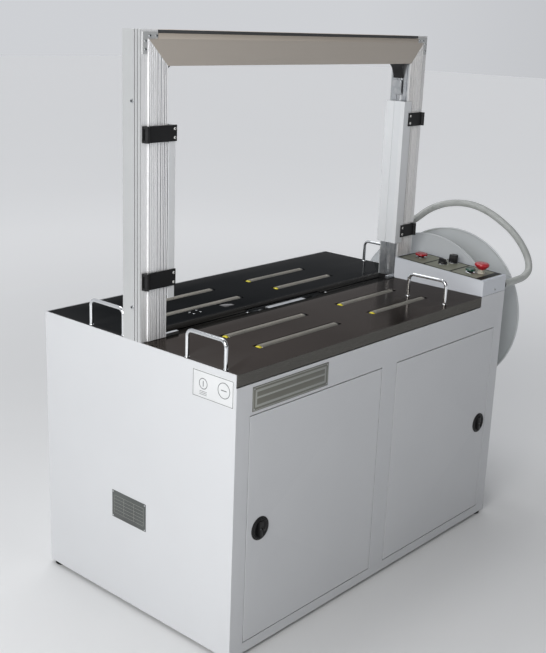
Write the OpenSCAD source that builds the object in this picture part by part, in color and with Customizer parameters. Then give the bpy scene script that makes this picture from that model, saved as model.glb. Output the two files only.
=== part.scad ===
// Strapping machine: cabinet with a roller table, a strap arch, a sloping control box and a strap reel.
// Millimetres, Z up. The origin is the middle of the bounding box at floor level.

/* [Cabinet] */
// Width of the cabinet from side to side
cab_w = 1210; // [1210:5:1280]
// Depth of the cabinet from front to back
cab_d = 720; // [700:5:780]
// Height of the table top above the bottom of the cabinet
table_h = 750; // [720:5:850]
// Height of the levelling feet under the cabinet
foot_h = 10; // [10:1:30]
// Width of the square iron angles of the frame
angle_w = 40; // [34:1:40]

/* [Arch] */
// Width of the arch from outside to outside
arch_w = 1168; // [1120:1:1180]
// Height of the arch above the table
arch_h = 750; // [700:10:950]
// Width of the arch columns and height of the beam
col_w = 82; // [76:1:82]

/* [Table] */
// Diameter of the table rollers
roller_d = 32; // [28:1:32]
// Width of the strap slot
slot_w = 8; // [6:1:12]
// Height of the lifting handles above the table
handle_h = 74; // [50:5:90]
// Diameter of the handle rod
handle_d = 10; // [8:1:11]

/* [Reel] */
// Diameter of the reel flanges
reel_d = 544; // [300:4:544]
// Width of the reel over the flanges
reel_w = 160; // [120:5:180]
// Diameter of the strap coil on the reel
coil_d = 310; // [230:5:500]

/* [Controls] */
// Diameter of the stop button
stop_d = 46; // [38:1:50]
// Diameter of the white conduit hose
hose_d = 23; // [14:1:20]

/* [Hidden] */
$fn = 32;

// height of the table top, front of the arch, and middle line of the strap slot
H = table_h;
arch_y = 327;
arch_back = 397;
slot_y = 357;
top = H + arch_h;
clear = 0.08;
white = [0.85, 0.86, 0.86];
steel = [0.6, 0.61, 0.62];
dark = [0.12, 0.12, 0.13];
alu = [0.78, 0.79, 0.8];
iron = [0.3, 0.32, 0.34];

// the reel hangs on the right side of the cabinet
reel_x = cab_w + 30;
reel_y = 311;
reel_z = H - 147;
reel_end = reel_x + reel_w;

// bounding box in the working frame, which starts at the front left bottom corner of the cabinet
min_x = -3;
max_x = reel_end + 40;
min_y = -8;
max_y = cab_d + 25;

// control box: sloping top rising towards the arch
box_x = 1074;
box_back = 326.5;
box_front_h = 48;
box_back_h = 67;
slope = atan((box_back_h - box_front_h) / box_back);

// doors: sheet edges, hinge pins and latches
door_z0 = 30.5;
door_z1 = H - 114.5;
left_door_x = [50, 574];
right_door_x = [646, 1162];
pin_y = 9;
left_pin_x = 566;
right_pin_x = 654;
left_latch_x = 97.5;
right_latch_x = 1122;
latch_z = H - 420;

// table plates: ends, pivots and rollers
plate_t = 3;
front_plate_x = [3, 1073];
front_plate_y = [0, 321];
rear_plate_x = [4, cab_w - 4];
rear_plate_y = [398.5, cab_d - 6];
pivot_z = H - 11;
front_pivot_y = 260;
rear_pivot_y = cab_d - 64;
front_pivots = [60, 1012];
rear_pivots = [60, 1142];
roller_z = H + 3 - roller_d / 2;
left_roller_x = [204, 508];
right_roller_x = [678, 925];
row_y = [118, 233, 481, 596];
cap_l = 10;

// gates: hinge pins stand in front of the outer strips of the arch
gate_pin_x = 10;
gate_pin_y = 319;
left_gate_z = [H + 102, H + 531];
right_gate_z = [H + 112, H + 555];
left_arm_z = [[H + 134, H + 176], [H + 492, H + 531]];
right_arm_z = [[H + 130, H + 168], [H + 480, H + 520]];

// strapping head under the slot
head_x = [430, 730];
cam_z = H - 150;
feed_x = 690;
feed_z = H - 100;
feed_r = 24;
pinch_r = 16;
pinch_z = feed_z + feed_r + pinch_r + 0.3;

module home() {
  translate([-(min_x + max_x) / 2, -(min_y + max_y) / 2, foot_h]) children();
}

module block(a, b) {
  translate(a) cube(b - a);
}

module rod_x(x0, x1, y, z, r) {
  translate([x0, y, z]) rotate([0, 90, 0]) cylinder(h = x1 - x0, r = r);
}

module rod_y(y0, y1, x, z, r) {
  translate([x, y0, z]) rotate([-90, 0, 0]) cylinder(h = y1 - y0, r = r);
}

module rod_z(z0, z1, x, y, r) {
  translate([x, y, z0]) cylinder(h = z1 - z0, r = r);
}

// iron angle upright with its corner at x, y
module upright(x, y, turn, z1) {
  translate([x, y, 0]) rotate([0, 0, turn]) {
    cube([angle_w, 4, z1]);
    cube([4, angle_w, z1]);
  }
}

// frame that carries everything: uprights, rails, column seats, slot rails and rest pads
module base_frame() home() color(iron) difference() {
  union() {
    r = cab_w - 2;
    b = cab_d - 2;
    upright(2, 2, 0, H - 35);
    upright(r, 2, 90, H - 35);
    upright(r, b, 180, H - 80);
    upright(2, b, 270, H - 80);
    block([590, 2, 0], [630, 6, H - 35]);
    block([608, 2, 0], [612, 42, H - 35]);
    // bottom rails and the cross bar under the strap magazine
    block([2, 2, 0], [r, 42, 4]);
    block([2, 38, 0], [r, 42, 40]);
    block([2, b - 40, 0], [r, b, 4]);
    block([2, b - 4, 0], [r, b, 40]);
    block([2, 2, 0], [42, b, 4]);
    block([2, 2, 0], [6, b, 40]);
    block([r - 40, 2, 0], [r, b, 4]);
    block([r - 4, 2, 0], [r, b, 40]);
    block([2, 330, 0], [r, 390, 4]);
    // top rails
    block([2, 2, H - 75], [r, 6, H - 35]);
    block([2, 2, H - 39], [r, 42, H - 35]);
    block([2, b - 4, H - 120], [r, b, H - 80]);
    block([2, b - 40, H - 84], [r, b, H - 80]);
    for (x = [2, r - 4]) block([x, 2, H - 120], [x + 4, b, H - 80]);
    for (x = [2, r - 40]) block([x, 2, H - 84], [x + 40, b, H - 80]);
    // side posts and seats under the arch columns
    for (x = [2, r - 4]) block([x, 340, 0], [x + 4, 380, H - 100]);
    block([2, 323, H - 110], [44, arch_back, H - plate_t]);
    block([1124, 323, H - 110], [r, arch_back, H - plate_t]);
    // slot rails
    block([40, 323, H - 75], [1130, 328, H - plate_t]);
    block([40, 392, H - 75], [1130, arch_back, H - plate_t]);
    // rails under the plate pivots
    for (y = [front_pivot_y, rear_pivot_y]) block([3, y - 5, H - 110], [r - 1, y + 5, H - 85]);
    // rest pads for the table plates
    for (x = [60, 980]) block([x, 10, H - 37], [x + 40, 34, H - 3.3]);
    for (x = [90, 1040]) block([x, 395, H - 30], [x + 40, 415, H - 3.3]);
    // supports under the control box
    block([1078, 20, H - 37], [r - 2, 40, H]);
    block([1100, 275, H - 82], [r - 2, 300, H]);
    block([1100, 250, H - 110], [1120, 300, H - 80]);
  }
  for (x = [24, cab_w - 24]) for (y = [24, cab_d - 24]) rod_z(-1, 5, x, y, 6.5);
}

module front_frame() home() color(white) {
  difference() {
    block([0, 0, 0], [cab_w, 2, H - 1]);
    block([47.5, -1, 28], [576.5, 3, H - 112]);
    block([643.5, -1, 28], [1164.5, 3, H - 112]);
    block([-1, -1, H - 33], [box_x, 3, H]);
  }
  // folded edges that the latches catch behind
  block([45.5, 1, 28], [47.5, 22, H - 112]);
  block([1164.5, 1, 28], [1166.5, 22, H - 112]);
}

module left_panel() home() color(white) {
  block([0, 2, 0], [2, cab_d, H]);
}

module right_panel() home() color(white) {
  block([cab_w - 2, 2, 0], [cab_w, cab_d, H]);
}

module rear_panel() home() color(white) difference() {
  block([2, cab_d - 2, 0], [cab_w - 2, cab_d, H]);
  for (k = [0:5]) for (x = [420, 700]) {
    block([x, cab_d - 3, 140 + 24 * k], [x + 120, cab_d + 1, 148 + 24 * k]);
  }
  rod_y(cab_d - 3, cab_d + 1, 1100, 150, 8);
}

module levelling_feet() home() color(dark) {
  for (x = [24, cab_w - 24]) for (y = [24, cab_d - 24]) {
    rod_z(-foot_h, 5 - foot_h, x, y, 22);
    rod_z(-foot_h, 34, x, y, 6);
    translate([x, y, -5]) cylinder(h = 5, r = 10, $fn = 6);
    translate([x, y, 4]) cylinder(h = 7, r = 10, $fn = 6);
  }
}

// fixed strip between the two table plates, with the strap slot and the head opening
module slot_plate() home() color(steel) difference() {
  block([2, 323, H - plate_t], [cab_w - 2, 397.5, H]);
  block([129, slot_y - slot_w / 2, H - 4], [arch_w - 129, slot_y + slot_w / 2, H + 1]);
  block([417, 340, H - 4], [745, 374, H + 1]);
}

// point on the sloping top of the control box
module on_box(x, y) {
  translate([x, y, H + box_front_h + y * tan(slope)]) rotate([slope, 0, 0]) children();
}

module box_wedge(x0, x1, y0, y1, low) {
  translate([x0, 0, H]) rotate([90, 0, 90]) linear_extrude(x1 - x0) polygon([
    [y0, low],
    [y1, low],
    [y1, box_front_h + y1 * tan(slope) - low],
    [y0, box_front_h + y0 * tan(slope) - low]
  ]);
}

module control_box() home() color([0.75, 0.76, 0.72]) difference() {
  box_wedge(box_x, cab_w, 0, box_back, 0);
  box_wedge(box_x + 2, cab_w - 2, 2, box_back - 2, 2);
  on_box(1150, 278) rod_z(-10, 5, 0, 0, 9.4);
  on_box(1142, 191) rod_z(-10, 5, 0, 0, 6.4);
  on_box(1186, 180) rod_z(-10, 5, 0, 0, 6.4);
  on_box(1129, 81) rod_z(-10, 5, 0, 0, 9.4);
  on_box(1153, 57) rod_z(-10, 5, 0, 0, 9.4);
  // cable hole down into the cabinet
  rod_z(H - 1, H + 3, 1150, 150, 12);
}

module control_overlay() home() color([0.47, 0.47, 0.4]) difference() {
  on_box(0, 12) block([box_x + 5, 0, 0.01], [cab_w - 5, 310, 0.8]);
  on_box(1150, 278) rod_z(-1, 5, 0, 0, 14.2);
  on_box(1142, 191) rod_z(-1, 5, 0, 0, 10);
  on_box(1186, 180) rod_z(-1, 5, 0, 0, 10);
  on_box(1129, 81) rod_z(-1, 5, 0, 0, 14.2);
  on_box(1153, 57) rod_z(-1, 5, 0, 0, 14.2);
}

// blank name plate on the front, paper label and data plate on the left side
module label_plates() home() color([0.5, 0.5, 0.45]) {
  block([55, -1, H - 104], [337, 0, H - 42]);
  block([-0.6, 8, H - 86], [0, 145, H - 16]);
  block([-1, 310, H - 512], [0, 443, H - 434]);
}

module screws() home() color(steel) {
  // corner plates and sides of the arch
  for (x = [[24.5, 14], [45, 14], [11, 26], [11, 45]]) {
    rod_y(325.5, 327.5, x[0], top - x[1], 3.5);
    rod_y(325.5, 327.5, arch_w - x[0], top - x[1], 3.5);
  }
  for (z = [H + 86, top - 163]) {
    rod_x(-3, 0, 362, z, 5);
    rod_x(arch_w, arch_w + 3, 362, z, 5);
  }
  // data plate, control box and slot plate
  for (y = [316, 437]) for (z = [H - 506, H - 440]) rod_x(-2, -1, y, z, 2.5);
  rod_y(-2, 0, 1146, H + 12, 4);
  rod_z(H, H + 1, 408, 349, 3);
  rod_z(H, H + 1, 752, 349, 3);
}

// two hose glands and the inlet gland of the power cable
module cable_glands() home() color(dark) {
  rod_x(arch_w, arch_w + 18, 362, H + 155, 16);
  rod_x(cab_w, cab_w + 18, 18, H + 12, 15);
  difference() {
    rod_y(cab_d, cab_d + 25, 1100, 150, 12);
    rod_y(cab_d + 5, cab_d + 26, 1100, 150, 5);
  }
}

// section of an arch member: hollow outside, open channel for the track on the inside
module arch_section() difference() {
  translate([0, arch_y + 3]) square([col_w, arch_back - arch_y - 3]);
  translate([3, arch_y + 6]) square([col_w - 19, arch_back - arch_y - 9]);
  translate([col_w - 13, arch_y + 6]) square([14, arch_back - arch_y - 9]);
}

module arch_column() {
  translate([0, 0, H]) linear_extrude(arch_h - 3) arch_section();
  block([0, arch_y + 3, top - 3], [col_w, arch_back, top]);
}

module right_side() {
  translate([arch_w, 0, 0]) mirror([1, 0, 0]) children();
}

module arch_left_column() home() color(alu) arch_column();

module arch_right_column() home() color(alu) right_side() arch_column();

module arch_beam() home() color(alu) {
  translate([col_w, 0, top]) rotate([0, 90, 0]) linear_extrude(arch_w - 2 * col_w) arch_section();
}

// fluted covers on the front of the arch, mitred in the corners
module flutes(w) {
  translate([0, arch_y + 1.5]) square([w, 1.5]);
  translate([0, arch_y]) square([2.5, 2]);
  for (k = [1:8]) translate([k * w / 9 - 1.3, arch_y]) square([3.2, 2]);
  translate([w - 2.5, arch_y]) square([2.5, 2]);
}

module column_cover() {
  w = col_w - 21;
  intersection() {
    translate([21, 0, H]) linear_extrude(arch_h - 21) flutes(w);
    translate([0, arch_y + 4, 0]) rotate([90, 0, 0]) linear_extrude(6) polygon([
      [20, H],
      [col_w + 1, H],
      [col_w + 1, top - col_w - 1.2],
      [20, top - 20.2]
    ]);
  }
}

module arch_covers() home() color(alu) {
  column_cover();
  right_side() column_cover();
  // plain cover of the beam, and the strip above it between the corner plates
  translate([0, arch_y + 3, 0]) rotate([90, 0, 0]) linear_extrude(3) polygon([
    [21, top - 21],
    [arch_w - 21, top - 21],
    [arch_w - col_w, top - col_w],
    [col_w, top - col_w]
  ]);
  block([51, arch_y, top - 20.6], [arch_w - 51, arch_y + 3, top - 8]);
}

module corner_plate() {
  block([3, arch_y + 0.5, top - 19.5], [50, arch_y + 3, top - 5]);
  block([3, arch_y + 0.5, top - 55], [17, arch_y + 3, top - 5]);
}

module corner_plates() home() color(alu) {
  corner_plate();
  right_side() corner_plate();
}

// strap track: grooved liners in the arch, rounded corner guides, slanted guides and foot blocks
module liner_section() difference() {
  translate([col_w - 13, arch_y + 6]) square([13, arch_back - arch_y - 9]);
  translate([col_w - 8, slot_y - 7]) square([9, 14]);
  translate([col_w - 3, 337.5]) square([4, 2]);
  translate([col_w - 3, 372]) square([4, 2]);
}

module side_track() {
  translate([0, 0, H]) linear_extrude(arch_h - col_w - 0.1) liner_section();
  // corner guide, slanted guide and foot block, each standing just off the liner
  x0 = col_w + 0.1;
  translate([0, 388, 0]) rotate([90, 0, 0]) linear_extrude(38) difference() {
    translate([x0, top - col_w - 45]) square([28, 44.9]);
    translate([col_w + 62, top - col_w - 51]) circle(r = 60, $fn = 64);
  }
  translate([0, 384, 0]) rotate([90, 0, 0]) linear_extrude(30) polygon([
    [x0, top - col_w - 50],
    [col_w + 16, top - col_w - 50],
    [x0, top - col_w - 96]
  ]);
  block([col_w + 2, 328, H], [127, 338, H + 8]);
}

module strap_track() home() color([0.45, 0.46, 0.47]) {
  side_track();
  right_side() side_track();
  translate([col_w, 0, top]) rotate([0, 90, 0]) linear_extrude(arch_w - 2 * col_w) liner_section();
}

// hinge of one gate arm: ears on the arch strip and the pin between them
module gate_hinge(z) {
  rod_z(z[0], z[1], gate_pin_x, gate_pin_y, 3);
  for (e = [[z[0], z[0] + 6], [z[1] - 6, z[1]]]) {
    block([gate_pin_x - 6, gate_pin_y, e[0]], [gate_pin_x + 6, arch_y + 3, e[1]]);
    rod_z(e[0], e[1], gate_pin_x, gate_pin_y, 6);
  }
}

module gate_hinges() home() color(dark) {
  for (z = left_arm_z) gate_hinge(z);
  right_side() for (z = right_arm_z) gate_hinge(z);
}

// one gate arm: barrel on the pin and a flat leaf, with two screws
module gate_arm(z, reach) {
  difference() {
    union() {
      rod_z(z[0] + 6.5, z[1] - 6.5, gate_pin_x, gate_pin_y, 6);
      block([gate_pin_x, gate_pin_y + 1, z[0] + 6.5], [reach, arch_y - 3, z[1] - 6.5]);
      block([gate_pin_x + 8, gate_pin_y + 1, z[0]], [reach, arch_y - 3, z[1]]);
    }
    rod_z(z[0] - 1, z[1] + 1, gate_pin_x, gate_pin_y, 3 + clear);
  }
  for (s = [9, z[1] - z[0] - 9]) rod_y(gate_pin_y - 1, gate_pin_y + 1.5, reach - 7, z[0] + s, 3);
}

module left_gate_arms() home() color(dark) {
  for (z = left_arm_z) gate_arm(z, 106);
}

module right_gate_arms() home() color(dark) right_side() {
  for (z = right_arm_z) gate_arm(z, 81);
}

// folded sheet gate that closes the track, front flange starting at x0
module gate(z, x0) {
  translate([0, 0, z[0]]) linear_extrude(z[1] - z[0]) union() {
    translate([x0, arch_y - 3]) square([105 - x0, 2]);
    translate([103, arch_y - 3]) square([2, 14]);
    translate([101, 336]) square([2, 30]);
    translate([101, 336]) square([4, 2]);
    translate([101, 364]) square([4, 2]);
    translate([103, 364]) square([2, 31]);
    translate([86, 393]) square([19, 2]);
  }
}

module left_gate() home() color(white) gate(left_gate_z, col_w + 0.7);

module right_gate() home() color(white) right_side() gate(right_gate_z, 66);

module door_hinge(x) {
  block([x - 10, 2, 4], [x + 10, 18, 28]);
  rod_z(20, 40, x, pin_y, 4);
  block([x - 10, 2, H - 112], [x + 10, 18, H - 75]);
  rod_z(H - 124, H - 100, x, pin_y, 4);
}

module door_hinges() home() color(iron) {
  door_hinge(left_pin_x);
  door_hinge(right_pin_x);
}

// post and pin of one table plate pivot
module pivot_post(x, y) {
  block([x - 6, y - 5, H - 85], [x + 6, y + 5, pivot_z]);
  rod_x(x - 6, x + 6, y, pivot_z, 6.5);
  rod_x(x - 14, x + 14, y, pivot_z, 3);
}

module table_pivots() home() color(steel) {
  for (x = front_pivots) pivot_post(x, front_pivot_y);
  for (x = rear_pivots) pivot_post(x, rear_pivot_y);
}

// strapping head: side plates on the slot rails, end plates, tie rods and anvil guide rods
module head_frame() home() color(steel) {
  difference() {
    union() {
      block([head_x[0], 328, H - 190], [head_x[1], 334, H - 15]);
      block([head_x[0], 386, H - 190], [head_x[1], 392, H - 15]);
      block([head_x[0], 330, H - 190], [head_x[0] + 8, 390, H - 60]);
      block([head_x[1] - 8, 330, H - 190], [head_x[1], 390, H - 60]);
    }
    rod_x(head_x[0] - 1, head_x[1] + 1, 360, cam_z, 10 + clear);
    rod_y(327, 393, feed_x, feed_z, 6 + clear);
    rod_y(327, 393, feed_x, pinch_z, 5 + clear);
  }
  for (x = [510, 650]) rod_y(333, 387, x, H - 22, 4);
  for (x = [460, 580]) rod_y(333, 387, x, H - 75, 8);
  block([536, 333, H - 120], [624, 387, H - 95]);
}

module drive_motors() home() color(iron) {
  // gear motor of the cam shaft
  rod_x(head_x[1], head_x[1] + 50, 360, cam_z, 28);
  rod_x(head_x[1] + 50, head_x[1] + 150, 360, cam_z, 34);
  // motor of the feed roller
  rod_y(392, 500, feed_x, feed_z, 24);
}

module electric_box() home() color([0.6, 0.62, 0.63]) difference() {
  block([90, cab_d - 152, 90], [430, cab_d - 2, 490]);
  block([92, cab_d - 150, 92], [428, cab_d - 4, 488]);
}

// flat box in which loose strap waits between the reel and the head
module strap_magazine() home() color([0.6, 0.62, 0.63]) difference() {
  block([700, 330, 4], [1140, 388, 520]);
  block([703, 333, 7], [1137, 385, 521]);
}

module reel_bracket() home() color(iron) {
  block([cab_w, reel_y - 45, reel_z - 60], [cab_w + 6, reel_y + 45, reel_z + 60]);
  rod_x(cab_w, cab_w + 11, reel_y, reel_z, 20);
  rod_x(cab_w, max_x - 18, reel_y, reel_z, 12.5);
  rod_x(max_x - 19, max_x, reel_y, reel_z, 24);
}

// hub that turns on the shaft: tube, web and drum for the strap core
module reel_hub() home() color(steel) difference() {
  union() {
    rod_x(cab_w + 12, max_x - 20, reel_y, reel_z, 24);
    rod_x(reel_x + reel_w / 2 - 4, reel_x + reel_w / 2 + 4, reel_y, reel_z, 98);
    difference() {
      rod_x(reel_x + 3, reel_end - 3, reel_y, reel_z, 100);
      rod_x(reel_x + 2, reel_end - 2, reel_y, reel_z, 95);
    }
  }
  rod_x(cab_w, max_x, reel_y, reel_z, 12.5 + clear);
}

module reel_flanges() home() color([0.75, 0.77, 0.78]) {
  for (x = [reel_x, reel_end - 3]) difference() {
    translate([x, reel_y, reel_z]) rotate([0, 90, 0]) cylinder(h = 3, r = reel_d / 2, $fn = 96);
    rod_x(x - 1, x + 4, reel_y, reel_z, 24);
  }
}

module strap_coil() home() color([0.75, 0.74, 0.6]) difference() {
  translate([reel_x + 3.5, reel_y, reel_z]) rotate([0, 90, 0]) {
    cylinder(h = reel_w - 7, r = coil_d / 2, $fn = 96);
  }
  translate([reel_x + 3, reel_y, reel_z]) rotate([0, 90, 0]) cylinder(h = reel_w, r = 100.3);
}

// white conduit hose from the right column round to the control box
hose_route = [
  [arch_w + 18, 362, H + 155],
  [1235, 362, H + 170],
  [1300, 358, H + 192],
  [1356, 338, H + 207],
  [1392, 296, H + 213],
  [1404, 244, H + 209],
  [1405, 190, H + 194],
  [1405, 140, H + 170],
  [1407, 96, H + 140],
  [1408, 60, H + 103],
  [1406, 35, H + 66],
  [1393, 21, H + 34],
  [1360, 18, H + 16],
  [1315, 18, H + 12],
  [1270, 18, H + 12],
  [cab_w + 18, 18, H + 12]
];
hose_steps = 5;
hose_sides = 12;
hose_last = (len(hose_route) - 1) * hose_steps;

function route_at(i) = hose_route[max(0, min(len(hose_route) - 1, i))];

// smooth curve through the route points
function curve(p, q, r, s, t) = 0.5 * (2 * q + (r - p) * t + (2 * p - 5 * q + 4 * r - s) * t * t
  + (3 * q - p - 3 * r + s) * t * t * t);

function hose_at(k) = let (i = min(floor(k / hose_steps), len(hose_route) - 2))
  curve(route_at(i - 1), route_at(i), route_at(i + 1), route_at(i + 2), k / hose_steps - i);

function hose_dir(k) = let (d = hose_at(min(k + 1, hose_last)) - hose_at(max(k - 1, 0))) d / norm(d);

function ring_side(k) = let (d = k == 0 ? [1, 0, 0] : k == hose_last ? [-1, 0, 0] : hose_dir(k),
  c = cross(d, [0, 1, -1])) [c / norm(c), cross(d, c / norm(c))];

function ring(k) = let (s = ring_side(k)) [for (j = [0:hose_sides - 1])
  hose_at(k) + hose_d / 2 * (cos(360 * j / hose_sides) * s[0] + sin(360 * j / hose_sides) * s[1])];

module conduit_hose() home() color([0.9, 0.9, 0.88]) {
  n = hose_sides;
  points = [for (k = [0:hose_last]) each ring(k)];
  sides = [for (k = [0:hose_last - 1]) for (j = [0:n - 1])
    [k * n + j, k * n + (j + 1) % n, (k + 1) * n + (j + 1) % n, (k + 1) * n + j]];
  start = [for (j = [0:n - 1]) n - 1 - j];
  end = [for (j = [0:n - 1]) hose_last * n + j];
  polyhedron(points = points, faces = concat([start], sides, [end]), convexity = 6);
}

module parcel_sensor() home() color(dark) {
  block([403, 430, H - 50], [443, 458, H - 1]);
  block([413, arch_back, H - 62], [433, 452, H - 50]);
}

// folded sheet door between x[0] and x[1], hinge pin at px, latch hole at lx
module door(x, px, lx) difference() {
  union() {
    block([x[0], 0, door_z0], [x[1], 2, door_z1]);
    block([x[0], 0, door_z0], [x[0] + 2, 18, door_z1]);
    block([x[1] - 2, 0, door_z0], [x[1], 18, door_z1]);
    block([x[0], 0, door_z0], [x[1], 18, door_z0 + 2]);
    block([x[0], 0, door_z1 - 2], [x[1], 18, door_z1]);
  }
  rod_z(door_z0 - 1, door_z0 + 3, px, pin_y, 4 + clear);
  rod_z(door_z1 - 3, door_z1 + 1, px, pin_y, 4 + clear);
  rod_y(-1, 3, lx, latch_z, 26.5);
}

module left_door() home() color(white) door(left_door_x, left_pin_x, left_latch_x);

module right_door() home() color(white) door(right_door_x, right_pin_x, right_latch_x);

// round latch: disc with a grip, spindle and a cam behind the door, pointing up when released
module latch(x) {
  rod_y(-4, 5, x, latch_z, 26);
  block([x - 5, -8, latch_z - 20], [x + 5, -3, latch_z + 20]);
  rod_y(4, 27, x, latch_z, 6);
  block([x - 6, 24, latch_z - 6], [x + 6, 27, latch_z + 60]);
}

module left_latch() home() color(dark) latch(left_latch_x);

module right_latch() home() color(dark) latch(right_latch_x);

// push button: head and stem through the sloping top
module push_button(x, y, r, low, high) {
  on_box(x, y) {
    rod_z(-28, low + 1, 0, 0, 9);
    rod_z(low, high, 0, 0, r);
  }
}

module red_button() home() color([0.75, 0.1, 0.12]) push_button(1150, 278, 20, 7, 14);

module green_button() home() color([0.1, 0.35, 0.25]) push_button(1129, 81, 16, 7, 14);

// mushroom button: stem, flared underside and rounded head
module estop_button() home() color([0.8, 0.1, 0.12]) on_box(1153, 57) {
  r = stop_d / 2;
  rotate_extrude() polygon([
    [0, -28],
    [9, -28],
    [9, 12],
    [12.5, 14.5],
    [r, 25],
    [r, 29],
    [r - 4, 33],
    [0, 34]
  ]);
}

module selector_knob() home() color(dark) on_box(1142, 191) {
  rod_z(-22, 3, 0, 0, 6);
  rod_z(2, 9, 0, 0, 14);
  block([-4, -13, 8], [4, 13, 18]);
}

module tension_knob() home() color(dark) on_box(1186, 180) {
  rod_z(-22, 3, 0, 0, 6);
  rod_z(2, 26, 0, 0, 15);
  block([-1, 8, 25], [1, 14, 27]);
}

// hangers that hold a roller axle under a plate, one at each end
module roller_hangers(x, y) {
  for (e = [x[0] - cap_l - 7, x[1] + cap_l + 3]) difference() {
    union() {
      block([e, y - 8, roller_z], [e + 4, y + 8, H - 1]);
      rod_x(e, e + 4, y, roller_z, 8);
    }
    rod_x(e - 1, e + 5, y, roller_z, 4 + clear);
  }
}

module roller_hole(x, y) {
  block([x[0] - cap_l - 3, y - 14, H - 4], [x[1] + cap_l + 3, y + 14, H + 1]);
}

// ears under a plate that turn on a pivot pin
module pivot_ears(x, y) {
  for (e = [x - 12, x + 8]) difference() {
    union() {
      block([e, y - 7, pivot_z], [e + 4, y + 7, H - 1]);
      rod_x(e, e + 4, y, pivot_z, 7);
    }
    rod_x(e - 1, e + 5, y, pivot_z, 3 + clear);
  }
}

module front_table_plate() home() color(steel) {
  difference() {
    union() {
      block([front_plate_x[0], 0, H - plate_t], [front_plate_x[1], front_plate_y[1], H]);
      block([front_plate_x[0], 0, H - 30], [front_plate_x[1], 3, H]);
    }
    for (y = [row_y[0], row_y[1]]) {
      roller_hole(left_roller_x, y);
      roller_hole(right_roller_x, y);
    }
    handle_holes(10, 41, 180);
    handle_holes(910, 24, 163);
  }
  for (y = [row_y[0], row_y[1]]) {
    roller_hangers(left_roller_x, y);
    roller_hangers(right_roller_x, y);
  }
  for (x = front_pivots) pivot_ears(x, front_pivot_y);
}

module rear_table_plate() home() color(steel) {
  difference() {
    block([rear_plate_x[0], rear_plate_y[0], H - plate_t], [rear_plate_x[1], rear_plate_y[1], H]);
    for (y = [row_y[2], row_y[3]]) {
      roller_hole(left_roller_x, y);
      roller_hole(right_roller_x, y);
    }
    block([401, 428, H - 4], [445, 460, H + 1]);
    handle_holes(11, 403, 541);
    handle_holes(1192, 403, 541);
  }
  for (y = [row_y[2], row_y[3]]) {
    roller_hangers(left_roller_x, y);
    roller_hangers(right_roller_x, y);
  }
  for (x = rear_pivots) pivot_ears(x, rear_pivot_y);
}

// holes in a plate for the ends of a handle
module handle_holes(x, y0, y1) {
  r = handle_d / 2;
  for (y = [y0 + r, y1 - r]) rod_z(H - 4, H + 1, x, y, r + 0.1);
}

// bent rod handle with its ends in a plate, running from y0 to y1
module handle(x, y0, y1) {
  r = handle_d / 2;
  bend = 16;
  z1 = H + handle_h - r;
  for (y = [y0 + r, y1 - r]) rod_z(H - plate_t, z1 - bend, x, y, r);
  rod_y(y0 + r + bend, y1 - r - bend, x, z1, r);
  translate([x, y0 + r + bend, z1 - bend]) rotate([90, 0, -90]) rotate_extrude(angle = 90) {
    translate([bend, 0]) circle(r = r);
  }
  translate([x, y1 - r - bend, z1 - bend]) rotate([90, 0, 90]) rotate_extrude(angle = 90) {
    translate([bend, 0]) circle(r = r);
  }
}

module front_handles() home() color([0.8, 0.8, 0.82]) {
  handle(10, 41, 180);
  handle(910, 24, 163);
}

module rear_handles() home() color([0.8, 0.8, 0.82]) {
  handle(11, 403, 541);
  handle(1192, 403, 541);
}

// table roller with end caps and axle stubs
module roller(x, y) {
  rod_x(x[0], x[1], y, roller_z, roller_d / 2);
  rod_x(x[0] - cap_l, x[1] + cap_l, y, roller_z, 12);
  rod_x(x[0] - cap_l - 8, x[1] + cap_l + 8, y, roller_z, 4);
}

module roller_a_left() home() color(steel) roller(left_roller_x, row_y[0]);
module roller_a_right() home() color(steel) roller(right_roller_x, row_y[0]);
module roller_b_left() home() color(steel) roller(left_roller_x, row_y[1]);
module roller_b_right() home() color(steel) roller(right_roller_x, row_y[1]);
module roller_c_left() home() color(steel) roller(left_roller_x, row_y[2]);
module roller_c_right() home() color(steel) roller(right_roller_x, row_y[2]);
module roller_d_left() home() color(steel) roller(left_roller_x, row_y[3]);
module roller_d_right() home() color(steel) roller(right_roller_x, row_y[3]);

// sliding anvil over the head, on two guide rods
module anvil_slide() home() color(steel) difference() {
  union() {
    block([500, 344, H - 12], [660, 367, H - 4]);
    for (x = [510, 650]) block([x - 8, 344, H - 30], [x + 8, 367, H - 10]);
  }
  for (x = [510, 650]) rod_y(340, 370, x, H - 22, 4 + clear);
}

module cam_shaft() home() color(steel) {
  rod_x(head_x[0] - 3, head_x[1] - 0.3, 360, cam_z, 10);
  rod_x(520, 532, 364, cam_z, 18);
  rod_x(560, 572, 360, cam_z + 4, 18);
  rod_x(600, 612, 356, cam_z, 18);
}

module feed_roller() home() color([0.2, 0.2, 0.2]) {
  rod_y(340, 380, feed_x, feed_z, feed_r);
  rod_y(326, 391.7, feed_x, feed_z, 6);
}

module pinch_roller() home() color(steel) {
  rod_y(340, 380, feed_x, pinch_z, pinch_r);
  rod_y(328.3, 391.7, feed_x, pinch_z, 5);
}

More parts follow.
